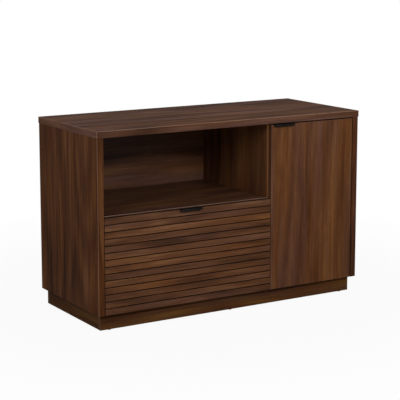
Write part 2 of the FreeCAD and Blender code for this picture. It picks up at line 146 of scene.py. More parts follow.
def new_finish(name, metallic=0.0, specular=0.5):
    material = bpy.data.materials.new(name)
    material.use_nodes = True
    shader = material.node_tree.nodes["Principled BSDF"]
    shader.inputs["Metallic"].default_value = metallic
    shader.inputs["Specular IOR Level"].default_value = specular
    return material, material.node_tree, shader


def coat(tree, shader, colour, roughness, relief, strength, depth):
    # Gives a finish its colour, its roughness and the fine relief of its surface
    tree.links.new(colour, shader.inputs["Base Color"])
    tree.links.new(roughness, shader.inputs["Roughness"])
    bump = add(tree, "Bump", {"Height": relief, "Strength": strength, "Distance": depth})
    tree.links.new(bump.outputs["Normal"], shader.inputs["Normal"])


def sheet_place(tree, coords, tilt, grain, band):
    # Where a point lies on the printed sheet. The ends of a board are banded, with the grain along the band.
    axes = axes_of(tree, coords["Object"])
    order = [ALONG_X, ALONG_Y, ALONG_Z]
    order[grain], order[band] = band, grain
    banded = add(tree, "CombineXYZ", {i: axes[order[i]] for i in order}).outputs[0]
    return mixed(tree, remap(tree, tilt[grain], (0.6, 0.8)), coords["Object"], banded)


def sway_across(tree, place, grain, sway):
    # Lets the print wander to and fro across the grain
    drift = [sway] * 3
    drift[grain] = 0.0
    wander = add(tree, "TexNoise", {"Vector": place, "Scale": 1.8, "Detail": 1.0}).outputs["Color"]
    return add(tree, "VectorMath", {0: wander, 1: drift, 2: place}, operation="MULTIPLY_ADD").outputs[0]


def painted_edge_highlight(tree, coords, tilt, highlight_share):
    # A painted highlight lies on eased edges, which face no axis squarely, but not on those that look down,
    # which the light does not catch
    squarest = reckon(tree, "MAXIMUM", tilt["X"], reckon(tree, "MAXIMUM", tilt["Y"], tilt["Z"]))
    upper = remap(tree, axes_of(tree, coords["Normal"])["Z"], (-0.2, -0.1), (0.0, highlight_share))
    return reckon(tree, "MULTIPLY", upper, remap(tree, squarest, (0.975, 0.99), (1.0, 0.0)))


def wood_print(name, grain, seed, tones, highlight_share=0.1, specular=0.02, band=ALONG_Y, edge_shade=1.0, tinting=1.0,
               sway=0.03, haste=1.0, moved=None):
    # Satin paper printed with walnut. Growth rings and broad streaks sway along the grain, some mauve and
    # some amber, and fine lines and short dark pores run through them. Haste makes the streaks shorter, and
    # moved can shift the print. Front and back edges are darkened by the given share as painted shade, and
    # eased edges that do not look down are paled as a painted highlight.
    material, tree, shader = new_finish(name, specular=specular)
    coords = add(tree, "TexCoord").outputs
    unsigned = add(tree, "VectorMath", {0: coords["Normal"]}, operation="ABSOLUTE").outputs[0]
    tilt = axes_of(tree, unsigned)
    place = sheet_place(tree, coords, tilt, grain, band)
    if moved:
        place = moved(tree, place)
    swayed = sway_across(tree, place, grain, sway)

    broad = drawn_noise(tree, swayed, grain, seed, across=17, along=1.5 * haste, detail=2.0)
    middling = drawn_noise(tree, swayed, grain, seed + 5, across=80, along=2.6 * haste, detail=3.0)
    lines = drawn_noise(tree, swayed, grain, seed + 9, across=420, along=9, detail=2.0)
    pores = drawn_noise(tree, place, grain, seed + 13, across=1500, along=55, detail=1.0)
    hue = drawn_noise(tree, swayed, grain, seed + 17, across=26, along=1.6 * haste, detail=3.0)
    growth = drawn_noise(tree, swayed, grain, seed + 21, across=4.5, along=0.6, detail=0.0)
    rings = reckon(tree, "SINE", reckon(tree, "MULTIPLY", growth, RING_TURNS))
    figure = weighed(tree, (broad, 0.5), (middling, 0.35), (rings, 0.05))

    colour = ramp(tree, figure, *zip(TONE_PLACES, tones))
    tint = ramp(tree, hue, (0.34, MAUVE_TINT), (0.5, WHITE), (0.66, AMBER_TINT))
    colour = mixed(tree, tinting, colour, tint, "MULTIPLY")
    faint = remap(tree, lines, (0.25, 0.75), (0.72, 1.26))
    ink = reckon(tree, "MULTIPLY", faint, remap(tree, pores, (0.58, 0.7), (1.0, 0.66)))
    # Painted shade: faces that look to the front or back are darkened by the given share
    inked_and_edge_shaded = reckon(tree, "MULTIPLY", ink, remap(tree, tilt["Y"], (0.5, 0.7), (1.0, edge_shade)))
    colour = add(tree, "VectorMath", {0: colour, "Scale": inked_and_edge_shaded}, operation="SCALE").outputs[0]
    # Painted highlight: eased edges that do not look down are paled towards the highlight colour
    colour = mixed(tree, painted_edge_highlight(tree, coords, tilt, highlight_share), colour, chart(*EDGE_HIGHLIGHT))
    satin = remap(tree, lines, (0.2, 0.8), (0.5, 0.38))
    coat(tree, shader, colour, satin, ink, strength=0.15, depth=0.0002)
    return material


def box_shape(low, high, ease=EDGE_EASE, free=lambda edge: True):
    # A block whose free edges are eased
    shape = bmesh.new()
    bmesh.ops.create_cube(shape, size=1.0, matrix=Matrix.LocRotScale((low + high) / 2, None, high - low))
    edges = [edge for edge in shape.edges if free(edge)]
    bmesh.ops.bevel(shape, geom=edges, offset=ease, segments=3, profile=0.5, affect="EDGES")
    return shape


def make_piece(name, shape, material, smooth=False):
    bmesh.ops.recalc_face_normals(shape, faces=shape.faces[:])
    mesh = bpy.data.meshes.new(name)
    shape.to_mesh(mesh)
    shape.free()
    mesh.materials.append(material)
    mesh.polygons.foreach_set("use_smooth", [smooth] * len(mesh.polygons))
    if smooth:
        mesh.set_sharp_from_angle(angle=SHARP_ANGLE)
    piece = bpy.data.objects.new(name, mesh)
    bpy.context.scene.collection.objects.link(piece)
    return piece


def stand_for(piece, body, slot, *replaced):
    # The piece moves with a body and is seen in place of the plain solids that it stands for
    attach(piece, body)
    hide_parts(*replaced)


def dress(material, *names):
    for name in names:
        nodes[name].data.materials.clear()
        nodes[name].data.materials.append(material)


# The plinth's print is painted darker than the boards above, as painted shade
plinth_shaded_tones = [chart(50, 29, 15), chart(67, 39, 21), chart(74, 46, 24), chart(88, 58, 29)]
plinth_print = wood_print("plinth_print", ALONG_X, 3.0, plinth_shaded_tones)
plinth_side_print = wood_print("plinth_side_print", ALONG_Y, 4.0, plinth_shaded_tones, specular=0.006,
                               band=ALONG_X)
for node, wood in (("plinth_front", plinth_print), ("plinth_back", plinth_print),
                   ("plinth_left", plinth_side_print), ("plinth_right", plinth_side_print),
                   ("plinth_middle", plinth_side_print)):
    plinth_board = make_piece(node + "_board", box_shape(*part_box(node)), wood)
    stand_for(plinth_board, "cabinet", "plinth_board", node)

# Corner blocks and dowels: bare softwood, sawn and fluted. The blocks are glued into the corners of the
# plinth, and the dowels are hidden in the joints of the boards.
softwood, tree, shader = new_finish("softwood")
place = add(tree, "TexCoord").outputs["Object"]
rings = drawn_noise(tree, place, ALONG_Z, seed=2.0, across=160, along=4, detail=3.0)
pale_wood = ramp(tree, rings, (0.3, chart(176, 134, 84)), (0.7, chart(216, 182, 132)))
sawn = remap(tree, rings, (0.3, 0.7), (0.76, 0.64))
coat(tree, shader, pale_wood, sawn, rings, strength=0.3, depth=0.0004)
dress(softwood, "plinth_corner_blocks", "wood_dowels")

# Glides: six discs of hard black plastic with a domed face, moulded and nailed under the front and back
# boards of the plinth. They keep its lower edges off the floor, and let the cabinet be pushed along.
GLIDE_DOME = ((0, 0), (0.5, 0), (0.8, 0.08), (0.95, 0.28), (1, 0.56), (1, 1), (0, 1))
PATCH_GAIN, PATCH_LIFT = 1.5, 0.004


def grit(tree, place, scale, detail, roughness=0.5):
    # Even noise with so many grains to the metre
    settings = {"Vector": place, "Scale": scale, "Detail": detail, "Roughness": roughness}
    return add(tree, "TexNoise", settings).outputs["Fac"]


def moulding(name, colour, roughness, tooth, specular=0.5):
    # Moulded plastic or powder coat with a fine even tooth in its surface, a little paler in patches
    material, tree, shader = new_finish(name, specular=specular)
    place = add(tree, "TexCoord").outputs["Object"]
    cloud = grit(tree, place, scale=35.0, detail=2.0)
    paler = [min(1.0, part * PATCH_GAIN + PATCH_LIFT) for part in colour[:3]] + [1.0]
    clouded = ramp(tree, cloud, (0.3, colour), (0.75, paler))
    patchy = remap(tree, cloud, (0.3, 0.7), (roughness - 0.06, roughness + 0.06))
    grain = grit(tree, place, scale=900.0, detail=2.0)
    coat(tree, shader, clouded, patchy, grain, strength=tooth, depth=0.0002)
    return material


def islands(node):
    # The lowest and highest corner of each separate solid in a node
    shape = bmesh.new()
    shape.from_mesh(nodes[node].data)
    bmesh.ops.remove_doubles(shape, verts=shape.verts[:], dist=1e-6)
    seen = set()
    boxes = []
    for start in shape.verts:
        if start in seen:
            continue
        seen.add(start)
        island = [start]
        for vertex in island:
            for edge in vertex.link_edges:
                other = edge.other_vert(vertex)
                if other not in seen:
                    seen.add(other)
                    island.append(other)
        spots = [vertex.co for vertex in island]
        boxes.append((Vector(map(min, *spots)), Vector(map(max, *spots))))
    shape.free()
    return boxes


def turn(shape, profile, start, axis, sides=32):
    # Spins a profile about an axis. Each of its points is a radius and a distance along the axis.
    side = axis.orthogonal().normalized()
    up = axis.cross(side)
    angles = [2 * math.pi * i / sides for i in range(sides)]
    rims = []
    for radius, along in profile:
        middle = start + axis * along
        spokes = [side * math.cos(a) + up * math.sin(a) for a in angles] if radius else [Vector()]
        rims.append([shape.verts.new(middle + spoke * radius) for spoke in spokes])
    for near, far in zip(rims, rims[1:]):
        for i in range(sides):
            j = (i + 1) % sides
            corners = [near[i % len(near)], near[j % len(near)], far[j % len(far)], far[i % len(far)]]
            shape.faces.new(dict.fromkeys(corners))
    return shape


black_plastic = moulding("black_plastic", chart(22, 22, 23), roughness=0.5, tooth=0.25)
glides = bmesh.new()
for low, high in islands("base_glides"):
    radius, thick = (high.x - low.x) / 2, high.z - low.z
    middle = (low + high) / 2
    glide_profile = [(out * radius, up * thick) for out, up in GLIDE_DOME]
    turn(glides, glide_profile, Vector((middle.x, middle.y, low.z)), Vector((0, 0, 1)))
glide_discs = make_piece("base_glide_discs", glides, black_plastic, smooth=True)
stand_for(glide_discs, "cabinet", "black_plastic", "base_glides")

# Bottom panel, ends, upright and cubby shelf: 16 and 25 mm chipboard in wood-print paper with banded edges,
# held by cams and dowels. Rows of holes in the upright and in the right end take the pins of the cupboard's
# shelf.
PIN_PITCH = 0.032
PIN_RADIUS = 0.0025
BORE_PLAY = 0.00015
TOUCH = 0.0001


def bar(shape, start, axis, radius, near, far, sides=32):
    # A plain round bar about an axis, or the cutter for a bore
    return turn(shape, [(0, near), (radius, near), (radius, far), (0, far)], start, axis, sides)


def combine(piece, other, operation="DIFFERENCE"):
    # Cuts another shape out of a piece or, as a UNION, makes the two one. The other shape leaves the scene.
    tool = piece.modifiers.new("combine", "BOOLEAN")
    tool.object = other
    tool.operation = operation
    tool.solver = "EXACT"
    tool.use_self = True
    bpy.context.view_layer.update()
    mesh = bpy.data.meshes.new_from_object(piece.evaluated_get(bpy.context.evaluated_depsgraph_get()))
    piece.modifiers.clear()
    piece.data = mesh
    bpy.data.objects.remove(other)
    if mesh.polygons[0].use_smooth:
        mesh.set_sharp_from_angle(angle=SHARP_ANGLE)


def let_in(node, hosts):
    # Where each solid of a node is let into a board: the host, the middle of its open face, the way in, its
    # radius and its depth
    found = []
    for low, high in islands(node):
        size = high - low
        across = min(range(3), key=lambda i: size[i])
        way = Vector([float(i == across) for i in range(3)])
        middle = (low + high) / 2
        radius, depth = max(size) / 2, size[across]
        for host in hosts:
            host_low, host_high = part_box(host)
            inside = all(host_low[i] < middle[i] < host_high[i] for i in range(3))
            if inside and abs(low[across] - host_low[across]) < TOUCH:
                found.append((host, middle - way * depth / 2, way, radius, depth))
            elif inside and abs(high[across] - host_high[across]) < TOUCH:
                found.append((host, middle + way * depth / 2, -way, radius, depth))
    return found


def bored_board(name, node, wood, cams, pins=()):
    # A banded board with the bores for its cams and for rows of shelf pins. Its front edges are eased, but on
    # an upright board only the one farther from the middle, because a front lies close to the other. The
    # eased edges carry the painted highlight, so on an upright board it shows on the outer edge alone.
    low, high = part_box(node)
    upright = high.z - low.z > high.x - low.x
    outer = max(abs(low.x), abs(high.x)) - EDGE_EASE if upright else 0.0
    front = low.y + EDGE_EASE
    banded = box_shape(low, high, free=lambda edge: all(
        spot.co.y < front and abs(spot.co.x) > outer for spot in edge.verts))
    piece = make_piece(name, banded, wood)
    bores = bmesh.new()
    for host, face, way, radius, depth in cams:
        if host == node:
            bar(bores, face, way, radius + BORE_PLAY, -depth, depth)
    for pin_low, pin_high in pins:
        middle, length = (pin_low + pin_high) / 2, pin_high.x - pin_low.x
        for step in (-1, 0, 1):
            start = Vector((pin_low.x, middle.y, middle.z + step * PIN_PITCH))
            bar(bores, start, Vector((1, 0, 0)), PIN_RADIUS + BORE_PLAY, 0, length)
    combine(piece, make_piece("bores", bores, wood))
    return piece


end_tones = [chart(50, 29, 16), chart(78, 45, 26), chart(89, 54, 31), chart(112, 72, 43)]
inner_tones = [chart(43, 25, 15), chart(63, 37, 23), chart(72, 45, 27), chart(88, 58, 34)]
upright_tones = [chart(58, 34, 20), chart(86, 52, 31), chart(97, 62, 37), chart(118, 79, 47)]
# The left end's front and back edges are painted darker than its sides, as painted shade
left_print = wood_print("left_print", ALONG_Z, 22.37, end_tones, highlight_share=0.4, specular=0.006, edge_shade=0.67,
                        tinting=0.6)
right_print = wood_print("right_print", ALONG_Z, 37.07, end_tones, highlight_share=0.4, specular=0.006)
upright_print = wood_print("upright_print", ALONG_Z, 33.59, upright_tones, specular=0.15)
shelf_print = wood_print("shelf_print", ALONG_X, 27.0, inner_tones, highlight_share=0.4, specular=0.25)
cam_places = let_in("cam_locks", ["bottom_panel", "left_end", "right_end", "upright", "cubby_shelf"])
cupboard_middle = (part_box("upright")[1].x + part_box("right_end")[0].x) / 2
pin_boxes = islands("shelf_pins")
upright_pins = [pin for pin in pin_boxes if pin[0].x < cupboard_middle]
end_pins = [pin for pin in pin_boxes if pin[0].x > cupboard_middle]
for node, wood, slot, pins in (("bottom_panel", shelf_print, "inner_board", []),
                               ("left_end", left_print, "end_board", []),
                               ("right_end", right_print, "end_board", end_pins),
                               ("upright", upright_print, "inner_board", upright_pins),
                               ("cubby_shelf", shelf_print, "inner_board", [])):
    stand_for(bored_board(node + "_board", node, wood, cam_places, pins), "cabinet", slot, node)

# Top: a 25 mm board in wood-print paper that laps a little over the ends and the fronts, with its grain
# along its length. It is drawn down on the ends and the upright by cams, so nothing shows on it.
# The top's print is paler and bluer than the other boards', as painted light and a painted sheen on its upper
# face; its front and back edges are painted darker, as painted shade.
top_lit_tones = [chart(61, 38, 28), chart(90, 59, 43), chart(100, 68, 51), chart(118, 82, 63)]
top_print = wood_print("top_print", ALONG_X, 37.85, top_lit_tones, highlight_share=0.5, specular=0.01, edge_shade=0.62)
top_board = make_piece("top_board", box_shape(*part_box("top_panel")), top_print)
stand_for(top_board, "cabinet", "top_board", "top_panel")

# Back: a thin sheet of hardboard, wood print on the side that faces in and bare brown fibre behind.
# Round-headed nails of zinc-plated steel hold it to the rear edges of the boards.
NAIL_HEAD = 0.0032
NAIL_SHANK = 0.0009
NAIL_POINT = 0.003
HEAD_PROUD = 0.0003
HEAD_THICK = 0.0008


def hardboard(name, seed, tones, printed_way):
    # A thin sheet with wood print on the side that looks the printed way, and bare fibre elsewhere
    material = wood_print(name, ALONG_X, seed, tones, specular=0.1)
    tree = material.node_tree
    shader = tree.nodes["Principled BSDF"]
    coords = add(tree, "TexCoord").outputs
    fibre = grit(tree, coords["Object"], scale=420.0, detail=4.0, roughness=0.7)
    patch = grit(tree, coords["Object"], scale=9.0, detail=2.0)
    bare = ramp(tree, weighed(tree, (fibre, 1.0), (patch, 0.15)), (0.38, chart(92, 62, 38)),
                (0.58, chart(132, 94, 60)), (0.78, chart(164, 124, 86)))
    facing = add(tree, "VectorMath", {0: coords["Normal"], 1: printed_way}, operation="DOT_PRODUCT")
    covered = remap(tree, facing.outputs["Value"], (0.4, 0.6))
    printed = shader.inputs["Base Color"].links[0].from_socket
    tree.links.new(mixed(tree, covered, bare, printed), shader.inputs["Base Color"])
    return material


def plating(name, dull, bright, roughness):
    # Plated steel: faint streaks from rolling, and small cloudy patches where the plating took unevenly
    material, tree, shader = new_finish(name, metallic=1.0)
    place = add(tree, "TexCoord").outputs["Object"]
    rolled = drawn_noise(tree, place, ALONG_Y, seed=1.0, across=900, along=12, detail=2.0)
    clouded = ramp(tree, grit(tree, place, scale=60.0, detail=3.0), (0.3, dull), (0.7, bright))
    streaked = remap(tree, rolled, (0.2, 0.8), (roughness - 0.08, roughness + 0.1))
    coat(tree, shader, clouded, streaked, rolled, strength=0.05, depth=0.0001)
    return material


back_tones = [chart(59, 37, 25), chart(73, 46, 32), chart(82, 53, 37), chart(93, 63, 44)]
dress(hardboard("back_print", 52.07, back_tones, (0, -1, 0)), "back_panel")
zinc = plating("zinc_plate", chart(168, 172, 176), chart(204, 206, 208), roughness=0.34)
nails = bmesh.new()
for low, high in islands("back_nails"):
    middle, length = (low + high) / 2, high.y - low.y
    nail_profile = [(0, 0), (0.8 * NAIL_HEAD, HEAD_PROUD / 3), (NAIL_HEAD, HEAD_THICK / 2),
                    (NAIL_HEAD, HEAD_THICK), (NAIL_SHANK, HEAD_THICK), (NAIL_SHANK, length - NAIL_POINT),
                    (0, length)]
    head = Vector((middle.x, high.y + HEAD_PROUD, middle.z))
    turn(nails, nail_profile, head, Vector((0, -1, 0)), sides=16)
stand_for(make_piece("back_nail_heads", nails, zinc, smooth=True), "cabinet", "zinc_steel", "back_nails")

# Cams and bolts: die-cast zinc cams with a cross slot, let in flush, that draw steel bolts in the next
# board. Only the faces of the cams show, inside the cubby and the cupboard and under the flat boards.
CAM_SLOT_REACH = 0.62
CAM_SLOT_WIDTH = 0.0016
CAM_SLOT_DEPTH = 0.0035
CAM_RIM = 0.0008
CAM_DISH = 0.0006


def cross(shape, start, axis, reach, width, depth):
    # A cutter for a cross slot
    side = axis.orthogonal().normalized()
    facing = Matrix((side, axis.cross(side), axis)).transposed().to_4x4()
    for size in ((2 * reach, width, 2 * depth, 1), (width, 2 * reach, 2 * depth, 1)):
        place = Matrix.Translation(start) @ facing @ Matrix.Diagonal(size)
        bmesh.ops.create_cube(shape, size=1.0, matrix=place)


def cam_group(name, places, material):
    cams = bmesh.new()
    slots = bmesh.new()
    for _, face, way, radius, depth in places:
        rim = radius - CAM_RIM / 2
        cam_profile = [(0, CAM_DISH), (rim - CAM_RIM, CAM_DISH), (rim - CAM_RIM / 2, 0),
                       (rim, CAM_DISH / 3), (radius, CAM_RIM), (radius, depth), (0, depth)]
        turn(cams, cam_profile, face, way)
        cross(slots, face, way, CAM_SLOT_REACH * radius, CAM_SLOT_WIDTH, CAM_SLOT_DEPTH)
    piece = make_piece(name, cams, material, smooth=True)
    combine(piece, make_piece("slots", slots, material))
    return piece


cast_zinc = plating("cast_zinc", chart(142, 144, 146), chart(178, 178, 176), roughness=0.46)
stand_for(cam_group("cam_lock_faces", cam_places, cast_zinc), "cabinet", "zinc_steel", "cam_locks")
dress(zinc, "cam_bolts", "drawer_cam_bolts")

# Cupboard shelf: a loose 16 mm board in wood-print paper with all its edges banded. It lies on four
# nickel-plated pins with collars, which push into the rows of holes at one height or another.
COLLAR_RADIUS = 0.004
COLLAR_THICK = 0.0008
PIN_NOSE = 0.0006
loose_shelf = make_piece("adjustable_shelf_board", box_shape(*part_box("adjustable_shelf")), shelf_print)
stand_for(loose_shelf, "cabinet", "inner_board", "adjustable_shelf")
nickel = plating("nickel_plate", chart(186, 182, 172), chart(216, 212, 202), roughness=0.32)
pins = bmesh.new()
for low, high in pin_boxes:
    middle, length = (low + high) / 2, high.x - low.x
    start_x, inward = (low.x, 1.0) if low.x < cupboard_middle else (high.x, -1.0)
    wall = length / 2
    pin_profile = [(0, 0), (PIN_RADIUS, PIN_NOSE / 2), (PIN_RADIUS, wall), (COLLAR_RADIUS, wall),
                   (COLLAR_RADIUS, wall + COLLAR_THICK), (PIN_RADIUS, wall + COLLAR_THICK),
                   (PIN_RADIUS, length - PIN_NOSE), (PIN_RADIUS - PIN_NOSE, length), (0, length)]
    turn(pins, pin_profile, Vector((start_x, middle.y, middle.z)), Vector((inward, 0, 0)), sides=24)
stand_for(make_piece("shelf_pin_set", pins, nickel, smooth=True), "cabinet", "nickel_steel", "shelf_pins")

# Drawer slides: three channels a side of rolled zinc-plated steel, one inside the other, that run on steel
# balls in thin cages. The outer channel is screwed to the cabinet and the inner one to the drawer.
SLIDE_GAUGE = 0.0012
SLIDE_BEND = 0.0022


def rounded(path, cut, steps=5):
    # A path whose corners are cut back and joined by an even curve
    line = [path[0]]
    for before, corner, after in zip(path, path[1:], path[2:]):
        start = corner + (before - corner).normalized() * cut
        end = corner + (after - corner).normalized() * cut
        for i in range(steps + 1):
            t = i / steps
            line.append(start.lerp(corner, t).lerp(corner.lerp(end, t), t))
    return line + [path[-1]]


def prism(shape, outline, along):
    # A solid with the same outline all along
    near = [shape.verts.new(point) for point in outline]
    far = [shape.verts.new(point + along) for point in outline]
    for i in range(len(outline)):
        j = (i + 1) % len(outline)
        shape.faces.new((near[i], near[j], far[j], far[i]))
    shape.faces.new(near)
    shape.faces.new(far)
    return shape


def strip(path, gauge, into_space, along):
    # A strip of sheet bent along a path of flat points. into_space stands them up, and along is the strip's
    # width.
    left, right = [], []
    for i, point in enumerate(path):
        run = (path[min(i + 1, len(path) - 1)] - path[max(i - 1, 0)]).normalized()
        offset = Vector((-run.y, run.x)) * (gauge / 2)
        left.append(into_space(point + offset))
        right.append(into_space(point - offset))
    return prism(bmesh.new(), left + right[::-1], along)


for member, body, web_at_wall in (("outer", "cabinet", True), ("middle", "slide_middles", True),
                                  ("inner", "drawer", False)):
    for side in ("left", "right"):
        node = "slide_" + member + "_" + side
        low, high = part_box(node)
        half = SLIDE_GAUGE / 2
        web_at_low = (side == "left") == web_at_wall
        web, tip = (low.x + half, high.x) if web_at_low else (high.x - half, low.x)
        section = [Vector((tip, high.z - half)), Vector((web, high.z - half)), Vector((web, low.z + half)),
                   Vector((tip, low.z + half))]
        channel = strip(rounded(section, SLIDE_BEND), SLIDE_GAUGE,
                        lambda point: Vector((point.x, low.y, point.y)), Vector((0, high.y - low.y, 0)))
        stand_for(make_piece(node + "_channel", channel, zinc, smooth=True), body, "zinc_steel", node)

ball_steel = plating("ball_steel", chart(196, 196, 196), chart(226, 226, 226), roughness=0.14)
cage_steel = plating("cage_steel", chart(150, 146, 134), chart(182, 178, 164), roughness=0.4)
for race, body in (("outer", "outer_cages"), ("inner", "inner_cages")):
    balls = bmesh.new()
    for low, high in islands(race + "_balls"):
        place = Matrix.Translation((low + high) / 2)
        bmesh.ops.create_icosphere(balls, subdivisions=3, radius=(high.y - low.y) / 2, matrix=place)
    bearing = make_piece(race + "_bearing_balls", balls, ball_steel, smooth=True)
    stand_for(bearing, body, "nickel_steel", race + "_balls")
    dress(cage_steel, race + "_ball_cages")

# Drawer box: 12 mm boards in dark wood-print paper with a thin hardboard bottom let into grooves. Cams hold
# its sides to the drawer's front, and long screws go through them into its back.
box_tones = [chart(34, 20, 12), chart(50, 30, 19), chart(60, 38, 24), chart(70, 46, 29)]
box_side_print = wood_print("box_side_print", ALONG_Y, 41.0, box_tones)
box_back_print = wood_print("box_back_print", ALONG_X, 43.0, box_tones)
drawer_cam_places = let_in("drawer_cam_locks", ["drawer_side_left", "drawer_side_right"])
for node in ("drawer_side_left", "drawer_side_right"):
    side_board = bored_board(node + "_board", node, box_side_print, drawer_cam_places)
    stand_for(side_board, "drawer", "drawer_board", node)
back_board = make_piece("drawer_back_board", box_shape(*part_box("drawer_back")), box_back_print)
stand_for(back_board, "drawer", "drawer_board", "drawer_back")
drawer_cams = cam_group("drawer_cam_lock_faces", drawer_cam_places, cast_zinc)
stand_for(drawer_cams, "drawer", "zinc_steel", "drawer_cam_locks")
dress(hardboard("drawer_bottom_print", 57.0, back_tones, (0, 0, 1)), "drawer_bottom")

# Screws: plated steel with countersunk heads and a cross slot, rolled and pointed. They are driven flush
# through the slides, the sides of the drawer and the plates and cups of the hinges.
SCREW_SLOT_REACH = 0.66
SCREW_SLOT_WIDTH = 0.0009
SCREW_SLOT_DEPTH = 0.0009
SCREW_POINT = 0.003
HEAD_EDGE = 0.0003


def screw_group(name, node, material):
    # Each screw of a node, with its head at the end where the plain solid is widest
    screws = bmesh.new()
    slots = bmesh.new()
    spots = [vertex.co for vertex in nodes[node].data.vertices]
    for low, high in islands(node):
        size = high - low
        long_way = max(range(3), key=lambda i: size[i])
        way = Vector([float(i == long_way) for i in range(3)])
        middle, length = (low + high) / 2, size[long_way]
        reach = {}
        for end in (low[long_way], high[long_way]):
            face = [spot - middle for spot in spots
                    if abs(spot[long_way] - end) < TOUCH / 10 and (spot - middle).length < size.length]
            reach[end] = max((spoke - way * spoke.dot(way)).length for spoke in face)
        top = max(reach, key=reach.get)
        inward = way if top < middle[long_way] else -way
        start = middle - inward * length / 2
        head, shank = reach[top], min(reach.values())
        screw_profile = [(0, 0), (0.9 * head, 0), (head, HEAD_EDGE), (shank, HEAD_EDGE + head - shank),
                         (shank, length - SCREW_POINT), (0, length)]
        turn(screws, screw_profile, start, inward, sides=24)
        cross(slots, start, inward, SCREW_SLOT_REACH * head, SCREW_SLOT_WIDTH, SCREW_SLOT_DEPTH)
    piece = make_piece(name, screws, material, smooth=True)
    combine(piece, make_piece("slots", slots, material))
    return piece


for node, body, material, slot in (("slide_outer_screws", "cabinet", zinc, "zinc_steel"),
                                   ("slide_inner_screws", "drawer", zinc, "zinc_steel"),
                                   ("drawer_screws", "drawer", zinc, "zinc_steel"),
                                   ("hinge_plate_screws", "cabinet", nickel, "nickel_steel"),
                                   ("hinge_cup_screws", "door", nickel, "nickel_steel")):
    stand_for(screw_group(node + "_heads", node, material), body, slot, node)

# Drawer front: one board milled with square grooves into fourteen slats, and the inside of the grooves is
# darkened as painted shade. The slats are wrapped in strips from different parts of the printed sheet, so
# each has its own tone.
GROOVE_COUNT = 13
GROOVE_WIDTH = 0.0036
GROOVE_DEPTH = 0.005
GROOVE_PITCH = 0.0261
TOP_GROOVE = 0.3386
SLAT_EASE = 0.0009
SHEET_STEP = 2.9
FIRST_DRAW = 51
SLAT_TINTS = ((0.0, (0.92, 0.94, 1.02, 1.0)), (0.4, (1.05, 1.05, 1.06, 1.0)),
              (0.7, (1.04, 0.99, 0.94, 1.0)), (1.0, (1.16, 1.14, 1.06, 1.0)))
# Painted shade inside the grooves: its colour, how much of it, and where it starts and fades
GROOVE_SHADE = (0.0, 0.0, 0.0, 1.0)
GROOVE_SHADE_SHARE = 0.8
SHADE_START, SHADE_FULL = 0.0004, 0.0012
SHADE_FADE = 0.0004
front_low, front_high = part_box("drawer_front")
lowest_slat = front_low.z + TOP_GROOVE - GROOVE_COUNT * GROOVE_PITCH


def beyond(tree, axis, line):
    # How far a point lies beyond a line across an axis
    spot = axes_of(tree, add(tree, "TexCoord").outputs["Object"])
    return reckon(tree, "SUBTRACT", spot[axis], line)


def slat_number(tree):
    return reckon(tree, "FLOOR", reckon(tree, "DIVIDE", beyond(tree, "Z", lowest_slat), GROOVE_PITCH))


def next_strip(tree, place):
    # Moves on along the printed sheet by a step for each slat
    step = reckon(tree, "MULTIPLY", slat_number(tree), SHEET_STEP)
    move = add(tree, "CombineXYZ", {"X": step}).outputs[0]
    return add(tree, "VectorMath", {0: place, 1: move}, operation="ADD").outputs[0]


slat_tones = [chart(64, 41, 27), chart(80, 51, 33), chart(89, 58, 38), chart(104, 71, 47)]
slat_print = wood_print("slat_print", ALONG_X, 66.7, slat_tones, highlight_share=0.0, tinting=0.6, sway=0.008, haste=2.2,
                        moved=next_strip)
tree = slat_print.node_tree
shader = tree.nodes["Principled BSDF"]
slat_draw = reckon(tree, "ADD", slat_number(tree), FIRST_DRAW)
chance = add(tree, "TexWhiteNoise", {"W": slat_draw}, noise_dimensions="1D").outputs["Value"]
printed = shader.inputs["Base Color"].links[0].from_socket
toned = mixed(tree, 1.0, printed, ramp(tree, chance, *SLAT_TINTS), "MULTIPLY")
# Painted shade: the inside of each groove, behind the face, is darkened towards black
groove_edge = GROOVE_WIDTH / 2
off_groove = reckon(tree, "PINGPONG", beyond(tree, "Z", lowest_slat), GROOVE_PITCH / 2)
between = remap(tree, off_groove, (groove_edge, groove_edge + SHADE_FADE), (1.0, 0.0))
deep = remap(tree, beyond(tree, "Y", front_low.y), (SHADE_START, SHADE_FULL), (0.0, GROOVE_SHADE_SHARE))
groove_shaded = mixed(tree, reckon(tree, "MULTIPLY", between, deep), toned, GROOVE_SHADE)
tree.links.new(groove_shaded, shader.inputs["Base Color"])

face_y, groove_y = front_low.y, front_low.y + GROOVE_DEPTH
face_line = [(front_high.y, front_low.z), (face_y, front_low.z)]
for i in range(GROOVE_COUNT):
    foot = lowest_slat + (i + 1) * GROOVE_PITCH - groove_edge
    head = foot + GROOVE_WIDTH
    face_line += [(face_y, foot), (groove_y, foot), (groove_y, head), (face_y, head)]
face_line += [(face_y, front_high.z), (front_high.y, front_high.z)]
outline = rounded([Vector((front_low.x, y, z)) for y, z in face_line], SLAT_EASE, steps=3)
drawer_face = prism(bmesh.new(), outline, Vector((front_high.x - front_low.x, 0, 0)))
slatted_front = make_piece("drawer_front_slats", drawer_face, slat_print)
stand_for(slatted_front, "drawer", "front_board", "drawer_front")

# Pulls: strips of steel in black powder coat, one to each front. Each is bent down over the face of its
# front, where fingers reach behind it, and is screwed to the top edge.
PULL_GAUGE = 0.002
PULL_BEND = 0.003
PULL_EASE = 0.0004
SHARP_CORNER = 1.0


def ease_edges(shape, size):
    # Rounds the square corners of a shape, and leaves the gentle turns of its bends
    bmesh.ops.recalc_face_normals(shape, faces=shape.faces[:])
    sharp = [edge for edge in shape.edges
             if len(edge.link_faces) == 2 and edge.calc_face_angle() > SHARP_CORNER]
    bmesh.ops.bevel(shape, geom=sharp, offset=size, segments=2, profile=0.5, affect="EDGES")


